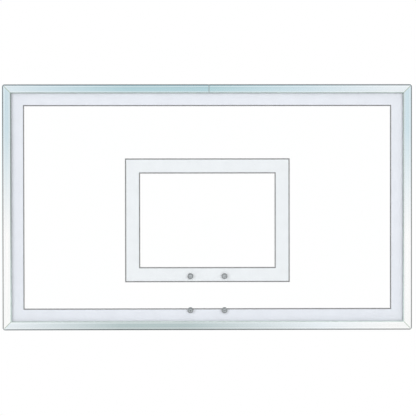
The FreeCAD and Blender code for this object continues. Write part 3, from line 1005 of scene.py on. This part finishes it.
@dataclass
class ChannelFrame:
    """The rails of the frame, and the keys, splice bar and screws that join them.

    The colours are the tones of the reflection that is painted along the rails, and then those of
    the painted shade on their rounded outer edges.
    """

    half_width: float = 762.0 * MM
    half_height: float = 457.2 * MM
    # tones of the painted reflection along the rails
    bright: Colour = (0.995, 0.998, 0.997)
    pale: Colour = (0.97, 0.98, 0.972)
    light: Colour = (0.845, 0.905, 0.94)
    mist: Colour = (0.765, 0.86, 0.905)
    cool: Colour = (0.645, 0.778, 0.838)
    sea: Colour = (0.48, 0.675, 0.72)
    teal: Colour = (0.475, 0.665, 0.718)
    green_grey: Colour = (0.492, 0.587, 0.593)
    # painted shade of the rounded outer edges, darkest along the top rails
    edge: Colour = (0.40, 0.42, 0.43)
    top_edge: Colour = (0.13, 0.20, 0.23)
    screw_inset: float = 15.25 * MM
    key_screws_along: tuple[float, float] = (43.2 * MM, 67.2 * MM)
    joint_x: float = 6.5 * MM
    splice_screws_along: tuple[float, ...] = (-68 * MM, -44 * MM, 44 * MM, 68 * MM)
    rear_y: float = -30.0 * MM
    screw_turn: float = 2.4
    zinc: PlatedSteel = PlatedSteel("bright_zinc", (0.74, 0.75, 0.76), (0.56, 0.57, 0.58))
    mill: PlatedSteel = PlatedSteel("mill_aluminium", (0.75, 0.76, 0.77), (0.62, 0.63, 0.64))

    def build(self) -> None:
        """Dress the rails and keys, and model the screws."""
        for node, tones in self.tones().items():
            dress(node, self.rail_finish(node, tones).material())
        mill = self.mill.material()
        for node in nodes_named("_corner_key", "_splice_bar"):
            dress(node, mill)
        self.screws()

    def tones(self) -> dict[str, ReflectedTones]:
        """The tones of the reflection painted on each rail, at shares of the way from its left or
        lower end.

        Returns:
            The tones by the rail's name.
        """
        # painted reflection: both uprights paler at the bottom and cooler at the top
        upright = (
            (0.0, self.pale),
            (0.15, self.bright),
            (0.385, self.bright),
            (0.825, self.cool),
            (1.0, self.cool),
        )
        return {
            "top_left_rail": (
                (0.0, self.mist), (0.2, self.cool), (0.6, self.teal), (1.0, self.teal)
            ),
            "top_right_rail": (
                (0.0, self.sea), (0.47, self.cool), (0.91, self.light), (1.0, self.light)
            ),
            "left_rail": upright,
            "right_rail": upright,
            "bottom_rail": (
                (0.0, self.light),
                (0.29, self.green_grey),
                (0.45, self.green_grey),
                (0.78, self.light),
                (0.95, self.pale),
                (1.0, self.pale),
            ),
        }

    def rail_finish(self, node: str, tones: ReflectedTones) -> SatinAluminium:
        """The finish of one rail.

        Args:
            node: the rail's name.
            tones: its tones from end to end.

        Returns:
            The finish.
        """
        low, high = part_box(node)
        size = high - low
        if size.x > size.z:
            run, span, halves = Run.LEVEL, (low.x, high.x), (self.half_width, self.half_height)
        else:
            run, span, halves = Run.UPRIGHT, (low.z, high.z), (self.half_height, self.half_width)
        # the top rails get a darker painted edge shade
        edge = self.top_edge if node.startswith("top_") else self.edge
        return SatinAluminium(f"anodised_{node}", run, span, tones, *halves, edge_shade_colour=edge)

    def key_points(self) -> list[tuple[float, float]]:
        """Where the screws of the corner keys go.

        Returns:
            The points, as x and z.
        """
        points = []
        for x_sign in (-1, 1):
            for z_sign in (-1, 1):
                for along in self.key_screws_along:
                    legs = ((along, self.screw_inset), (self.screw_inset, along))
                    for x_inset, z_inset in legs:
                        x = x_sign * (self.half_width - x_inset)
                        points.append((x, z_sign * (self.half_height - z_inset)))
        return points

    def splice_points(self) -> list[tuple[float, float]]:
        """Where the screws of the splice bar go."""
        z = self.half_height - self.screw_inset
        return [(self.joint_x + along, z) for along in self.splice_screws_along]

    def screws(self) -> None:
        """Model a screw once, and copy it to every hole, each at its own turn."""
        material = self.zinc.material()
        screw = CrossScrew().build()
        places = {"corner_key_screws": self.key_points(), "splice_screws": self.splice_points()}
        for node, points in places.items():
            copies = []
            for number, (x, z) in enumerate(points):
                place, roll = (x, self.rear_y, z), self.screw_turn * number
                copies.append(Bench.copy(screw, f"{node}_{number}", place, roll))
            joined = Bench.join(copies, f"dressed_{node}")
            stand_for(joined, node, material)
        Bench.discard(screw)


@dataclass
class GlazingGasket:
    """The four lengths of rubber channel around the glass, the left one in painted shade."""

    # painted light pales this rubber towards the bottom
    rubber: MouldedRubber = MouldedRubber(
        "channel_rubber", (0.375, 0.44, 0.42), (0.455, 0.52, 0.50), paling=1.42
    )
    # painted shade: a darker copy of the rubber for the left length, paling more towards the
    # bottom as painted light
    darker: MouldedRubber = MouldedRubber(
        "left_channel_rubber",
        (0.235, 0.29, 0.272),
        (0.29, 0.345, 0.327),
        paling=2.2,
        paling_heights=(60.0 * MM, -430.0 * MM),
    )

    def build(self) -> None:
        """Dress the gasket, whose left length is darker as painted shade."""
        rubber, darker = self.rubber.material(), self.darker.material()
        for node in nodes_named("_gasket"):
            dress(node, darker if node.startswith("left_") else rubber)


@dataclass
class RimFittings:
    """The grommets and barrel nuts that a rim bolts to.

    Outlines and breaks give the distance across the axis, then along it.
    """

    glass_front_y: float = -66.7 * MM
    glass_rear_y: float = -54.0 * MM
    flange_radius: float = 10.7 * MM
    flange: float = 2.5 * MM
    flange_break: tuple[float, float] = (0.4 * MM, 0.35 * MM)
    bead: Profile = in_mm(
        (0.0, 1.3), (0.35, 0.55), (1.0, 0.12), (1.45, 0.0), (1.9, 0.1),
        (2.1, 0.4), (2.35, 0.4), (2.5, 0.1), (2.7, 0.0),
    )
    sleeve_radius: float = 8.55 * MM
    sleeve: float = 6.15 * MM
    sleeve_break: tuple[float, float] = (0.4 * MM, 0.5 * MM)
    bore_radius: float = 7.1 * MM
    bore_mouth: Profile = in_mm((0.5, 0.0), (0.25, 0.1), (0.0, 0.4))
    grommet_crease: float = 50.0
    barrel_radius: float = 7.0 * MM
    barrel_length: float = 17.7 * MM
    barrel_break: float = 0.5 * MM
    thread_radius: float = 4.76 * MM
    thread_root: float = 0.79 * MM
    thread_pitch: float = 1.5875 * MM
    thread_turns: int = 8
    thread_start: float = 0.9 * MM
    thread_end: float = 16.2 * MM
    thread_form: tuple[tuple[bool, float], ...] = (
        (False, 0.95), (True, 0.55), (True, 0.45), (False, 0.05)
    )
    mouth: float = 0.7 * MM
    head_radius: float = 10.7 * MM
    head_height: float = 4.0 * MM
    head_break: float = 0.4 * MM
    head_round: Profile = in_mm((0.0, 1.2), (0.16, 0.6), (0.6, 0.16), (1.2, 0.0))
    socket_flats: float = 8.0 * MM
    socket_depth: float = 2.2 * MM
    rubber: MouldedRubber = MouldedRubber(
        "beaded_rubber", (0.225, 0.245, 0.252), (0.31, 0.33, 0.338)
    )
    steel: TurnedSteel = TurnedSteel("turned_steel", (0.57, 0.605, 0.62), (0.44, 0.47, 0.485))

    def build(self) -> None:
        """Model one grommet and one nut, and copy them to the four fittings."""
        rubber, steel = self.rubber.material(), self.steel.material()
        grommet, nut = self.grommet(), self.barrel_nut()
        for node in nodes_named("_rim_barrel_nut"):
            low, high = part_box(node)
            x, z = (low.x + high.x) / 2, (low.z + high.z) / 2
            fitting = node.removesuffix("_rim_barrel_nut")
            place = (x, self.glass_front_y, z)
            front = Bench.copy(grommet, f"{fitting}_front_grommet", place)
            stand_for(front, f"{fitting}_rim_grommet_front", rubber)
            place = (x, self.glass_rear_y, z)
            rear = Bench.copy(grommet, f"{fitting}_rear_grommet", place, about=True)
            stand_for(rear, f"{fitting}_rim_grommet_rear", rubber)
            place = (x, self.glass_front_y - self.flange, z)
            stand_for(Bench.copy(nut, f"{fitting}_nut", place), node, steel)
        Bench.discard(grommet, nut)

    def grommet(self) -> Piece:
        """Model a grommet with a beaded flange, with the glass's face at the origin.

        Returns:
            The grommet.
        """
        outer, face, sleeve = self.flange_radius, -self.flange, self.sleeve_radius
        mouth = tuple((self.bore_radius + out, face + back) for out, back in self.bore_mouth)
        profile = (
            *mouth,
            (self.bore_radius, self.sleeve),
            (sleeve - self.sleeve_break[0], self.sleeve),
            (sleeve, self.sleeve - self.sleeve_break[1]),
            (sleeve, 0.0),
            (outer - self.flange_break[0], 0.0),
            (outer, -self.flange_break[1]),
            *((outer - inset, face + back) for inset, back in self.bead),
            mouth[0],
        )
        grommet = Bench.turn("grommet", profile)
        Bench.smooth(grommet, self.grommet_crease)
        return grommet

    def thread(self) -> Profile:
        """The outline of the threaded hole, from its bottom to its mouth.

        Returns:
            The outline's points.
        """
        groove, crest = self.thread_radius, self.thread_radius - self.thread_root
        points = [(0.0, self.thread_end), (crest, self.thread_end)]
        for turn in reversed(range(self.thread_turns)):
            start = self.thread_start + turn * self.thread_pitch
            for grooved, share in self.thread_form:
                points.append((groove if grooved else crest, start + share * self.thread_pitch))
        return (*points, (groove, self.mouth), (groove + self.mouth, 0.0))

    def barrel_nut(self) -> Piece:
        """Model a nut with a threaded hole and a socket head, with its front at the origin.

        Returns:
            The nut.
        """
        seat, rear = self.barrel_length, self.barrel_length + self.head_height
        profile = (
            *self.thread(),
            (self.barrel_radius - self.barrel_break, 0.0),
            (self.barrel_radius, self.barrel_break),
            (self.barrel_radius, seat),
            (self.head_radius - self.head_break, seat),
            (self.head_radius, seat + self.head_break),
            *((self.head_radius - inset, rear - drop) for inset, drop in self.head_round),
            (0.0, rear),
        )
        nut = Bench.turn("barrel_nut", profile)
        bpy.ops.object.select_all(action="DESELECT")
        bpy.ops.mesh.primitive_cylinder_add(
            vertices=6,
            radius=self.socket_flats / math.sqrt(3),
            depth=2 * self.socket_depth,
            location=(0.0, rear, 0.0),
            rotation=(math.pi / 2, 0.0, 0.0),
        )
        Bench.cut(nut, bpy.context.object)
        Bench.smooth(nut)
        return nut


@dataclass
class MountingBrackets:
    """The four rear brackets with their bolts, washers and nut plates."""

    plate: GalvanisedSteel = GalvanisedSteel()
    zinc: PlatedSteel = PlatedSteel("bolt_zinc", (0.70, 0.71, 0.72), (0.52, 0.53, 0.54))

    def build(self) -> None:
        """Dress the brackets and what fastens them."""
        plate, zinc = self.plate.material(), self.zinc.material()
        for node in nodes_named("_mounting_bracket"):
            dress(node, plate)
        for node in ("bracket_bolts", "bracket_washers", "bracket_nut_plates"):
            dress(node, zinc)


@dataclass(frozen=True)
class SoftLamp:
    """A square lamp that faces the board and stays out of what is seen of the room."""

    name: str
    place: Point
    power: float
    size: float = 2.0

    def hang(self) -> None:
        """Hang the lamp."""
        data = bpy.data.lights.new(self.name, "AREA")
        data.size = self.size
        data.energy = self.power
        lamp = bpy.data.objects.new(self.name, data)
        lamp.location = self.place
        lamp.rotation_euler = (-Vector(self.place)).to_track_quat("-Z", "Y").to_euler()
        for ray in ("camera", "glossy", "transmission"):
            setattr(lamp, f"visible_{ray}", False)
        bpy.context.scene.collection.objects.link(lamp)


@dataclass
class Studio:
    """A white room lit most from front and back, with a pale floor, soft lamps and shaded flags.

    A flag is a card beside the board that shows only in reflections, and draws its edges.

    Attributes:
        ambient: the room's light from the sides, and from the front and the back.
        floor_level: the floor's height.
        floor_size: the floor's size.
        floor_colour: the floor's colour.
        floor_roughness: the floor's roughness.
        floor_fade: how far out the floor starts to fade to white, and is white.
        floor_white: the least share of white that is seen on the floor.
        flag_gap: how far the flags at the sides and the top are from the board.
        flag_lift: how far the lowest flag is above the floor.
        flag_lead: how far the flags reach in front of the board, in gaps.
        flag_depth: how deep the flags are from front to rear, in gaps.
        flag_span: how long the flags are.
        flag_dark: the flags' colour at the front.
        flag_grey: the flags' colour at the rear.
        flag_fade: where they go from dark to grey, in shares of their depth from the middle.
        flag_reach: how far from a flag its reflection starts to pale, and is white, in gaps.
        lamps: the lamps.
    """

    ambient: Range = (0.22, 0.85)
    floor_level: float = -1.2
    floor_size: float = 14.0
    floor_colour: Colour = (0.86, 0.86, 0.86)
    floor_roughness: float = 0.8
    floor_fade: Range = (1.1, 1.9)
    floor_white: float = 0.45
    flag_gap: float = 1.3
    flag_lift: float = 0.02
    flag_lead: float = 1.04
    flag_depth: float = 3.2
    flag_span: float = 5.0
    flag_dark: Colour = (0.06, 0.062, 0.062)
    flag_grey: Colour = (0.42, 0.43, 0.43)
    flag_fade: Range = (-0.27, -0.16)
    flag_reach: Range = (1.27, 1.46)
    lamps: tuple[SoftLamp, ...] = (
        SoftLamp("key_lamp", (-2.2, -3.9, 0.3), 47.0),
        SoftLamp("fill_lamp", (1.2, -4.3, 0.1), 73.0),
        SoftLamp("back_lamp", (0.8, 4.4, 0.6), 92.0),
    )

    def build(self) -> None:
        """Set up the room, the floor, the flags and the lamps."""
        self.white_room()
        self.floor()
        self.flags()
        for lamp in self.lamps:
            lamp.hang()

    def white_room(self) -> None:
        """Show white wherever the room is seen, and light the board by direction."""
        world = bpy.data.worlds.new("white_room")
        world.use_nodes = True
        bpy.context.scene.world = world
        sheet = NodeSheet(world.node_tree)
        heading = sheet.add("TexCoord").outputs["Generated"]
        onward = sheet.add("SeparateXYZ", {0: heading}).outputs["Y"]
        light = sheet.between(*self.ambient, sheet.sum("MULTIPLY", onward, onward))
        colour = sheet.blend(sheet.seen_rays(), light, WHITE)
        sheet.feed(world.node_tree.nodes["Background"], {"Color": colour})

    def floor(self) -> None:
        """Lay a pale floor that fades to the white of the room."""
        bpy.ops.object.select_all(action="DESELECT")
        place = (0.0, 0.0, self.floor_level)
        bpy.ops.mesh.primitive_plane_add(size=self.floor_size, location=place)
        floor = bpy.context.object
        floor.name = "floor"
        material, sheet, shader = new_material("pale_floor")
        base = {"Base Color": opaque(self.floor_colour), "Roughness": self.floor_roughness}
        sheet.feed(shader, base)
        reach = sheet.add("VectorMath", {0: sheet.place()}, operation="LENGTH").outputs["Value"]
        paling = sheet.between(self.floor_white, 1.0, sheet.fade(reach, *self.floor_fade))
        share = sheet.sum("MULTIPLY", paling, sheet.seen_rays())
        white = sheet.add("Emission", {"Color": opaque(WHITE), "Strength": 1.0})
        inputs = {0: share, 1: shader.outputs[0], 2: white.outputs[0]}
        sheet.show(sheet.add("MixShader", inputs).outputs[0])
        self.only_seen(material)
        floor.data.materials.append(material)

    def flags(self) -> None:
        """Stand flags at the sides, above and below, each dark in front of the board."""
        low, high = CAD_BOX
        gap, upright, level = self.flag_gap, (0.0, math.pi / 2, 0.0), (0.0, 0.0, 0.0)
        below = low.z - self.floor_level - self.flag_lift
        for name, x, z, turn, distance in (
            ("left_flag", low.x - gap, 0.0, upright, gap),
            ("right_flag", high.x + gap, 0.0, upright, gap),
            ("top_flag", 0.0, high.z + gap, level, gap),
            ("bottom_flag", 0.0, low.z - below, level, below),
        ):
            middle_y = low.y + (self.flag_depth / 2 - self.flag_lead) * distance
            bpy.ops.object.select_all(action="DESELECT")
            bpy.ops.mesh.primitive_plane_add(size=1.0, location=(x, middle_y, z), rotation=turn)
            flag = bpy.context.object
            flag.name = name
            flag.scale = (self.flag_span, self.flag_depth * distance, 1.0)
            flag.data.materials.append(self.flag_shade(f"{name}_shade", distance))
            for ray in ("camera", "diffuse", "transmission", "shadow", "volume_scatter"):
                setattr(flag, f"visible_{ray}", False)

    def flag_shade(self, name: str, gap: float) -> Material:
        """Shade a flag from dark to grey, and let it pale to white for a reflection from afar.

        Args:
            name: the material's name.
            gap: the flag's distance from the board.

        Returns:
            The material.
        """
        material, sheet, _ = new_material(name)
        depth = sheet.add("SeparateXYZ", {0: sheet.place()}).outputs["Y"]
        shade = sheet.blend(sheet.fade(depth, *self.flag_fade), self.flag_dark, self.flag_grey)
        reach = sheet.add("LightPath").outputs["Ray Length"]
        far = sheet.fade(reach, *(share * gap for share in self.flag_reach))
        glow = sheet.add("Emission", {"Color": sheet.blend(far, shade, WHITE)})
        sheet.show(glow.outputs[0])
        self.only_seen(material)
        return material

    @staticmethod
    def only_seen(material: Material) -> None:
        """Take no light from a material's glow, which is there to be seen."""
        material.cycles.emission_sampling = "NONE"


@dataclass
class PhotoCamera:
    """A camera nearly square to the board, a touch above and to the left of its middle."""

    distance: float = 4.0
    view_width: float = 1.5457
    aim: tuple[float, float] = (0.0022, -0.0026)
    pitch: float = math.radians(0.45)
    yaw: float = math.radians(0.4)
    roll: float = math.radians(-0.07)
    sensor: float = 36.0

    def build(self) -> None:
        """Make the camera and look through it."""
        data = bpy.data.cameras.new("photo_camera")
        data.sensor_width = self.sensor
        data.lens = self.sensor * self.distance / self.view_width
        camera = bpy.data.objects.new("photo_camera", data)
        target = Vector((self.aim[0], CAD_BOX[0].y, self.aim[1]))
        away = Vector((-math.sin(self.yaw), -math.cos(self.pitch), math.sin(self.pitch)))
        place = target + away.normalized() * self.distance
        look = (target - place).to_track_quat("-Z", "Y").to_matrix().to_4x4()
        turned = look @ Matrix.Rotation(self.roll, 4, "Z")
        camera.matrix_world = Matrix.Translation(place) @ turned
        bpy.context.scene.collection.objects.link(camera)
        bpy.context.scene.camera = camera


def main() -> None:
    """Build the sub-assemblies, the studio and the camera in order."""
    logging.basicConfig(level=logging.INFO, format="%(name)s: %(message)s")
    bpy.context.scene.view_settings.view_transform = "Standard"
    assemblies = (
        GlazedPanel(),
        ChannelFrame(),
        GlazingGasket(),
        RimFittings(),
        MountingBrackets(),
        Studio(),
        PhotoCamera(),
    )
    for assembly in assemblies:
        LOG.info("building %s", type(assembly).__name__)
        assembly.build()


if __name__ == "__main__":
    main()
